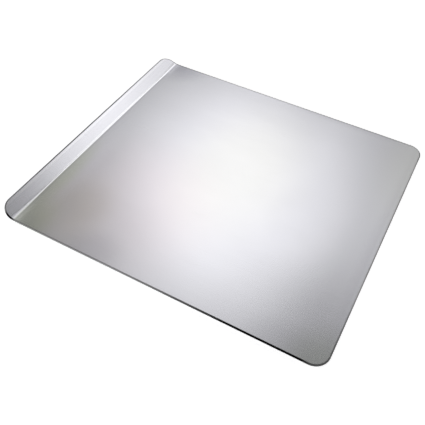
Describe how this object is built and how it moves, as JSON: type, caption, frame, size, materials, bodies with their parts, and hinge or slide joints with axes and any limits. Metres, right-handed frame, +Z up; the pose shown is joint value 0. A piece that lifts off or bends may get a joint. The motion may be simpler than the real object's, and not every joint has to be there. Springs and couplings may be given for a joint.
{
  "type": "cookie sheet",
  "caption": "Flat rounded-corner baking sheet with one upturned lip, made of two hemmed aluminium sheets with an air gap, for baking cookies without scorching.",
  "frame": {"origin": "centre of the outline seen from above, on the plane of the pan floor that the sheet rests on", "axes": "+X from the upturned lip to the opposite rim, +Y along the lip, +Z up out of the baking surface"},
  "size_m": [0.394, 0.356, 0.0155],
  "materials": {
    "top_sheet": "satin natural aluminium",
    "bottom_sheet": "mill-finish natural aluminium"
  },
  "bodies": {
    "root": {"top_sheet": "top_sheet", "bottom_sheet": "bottom_sheet"}
  },
  "joints": []
}
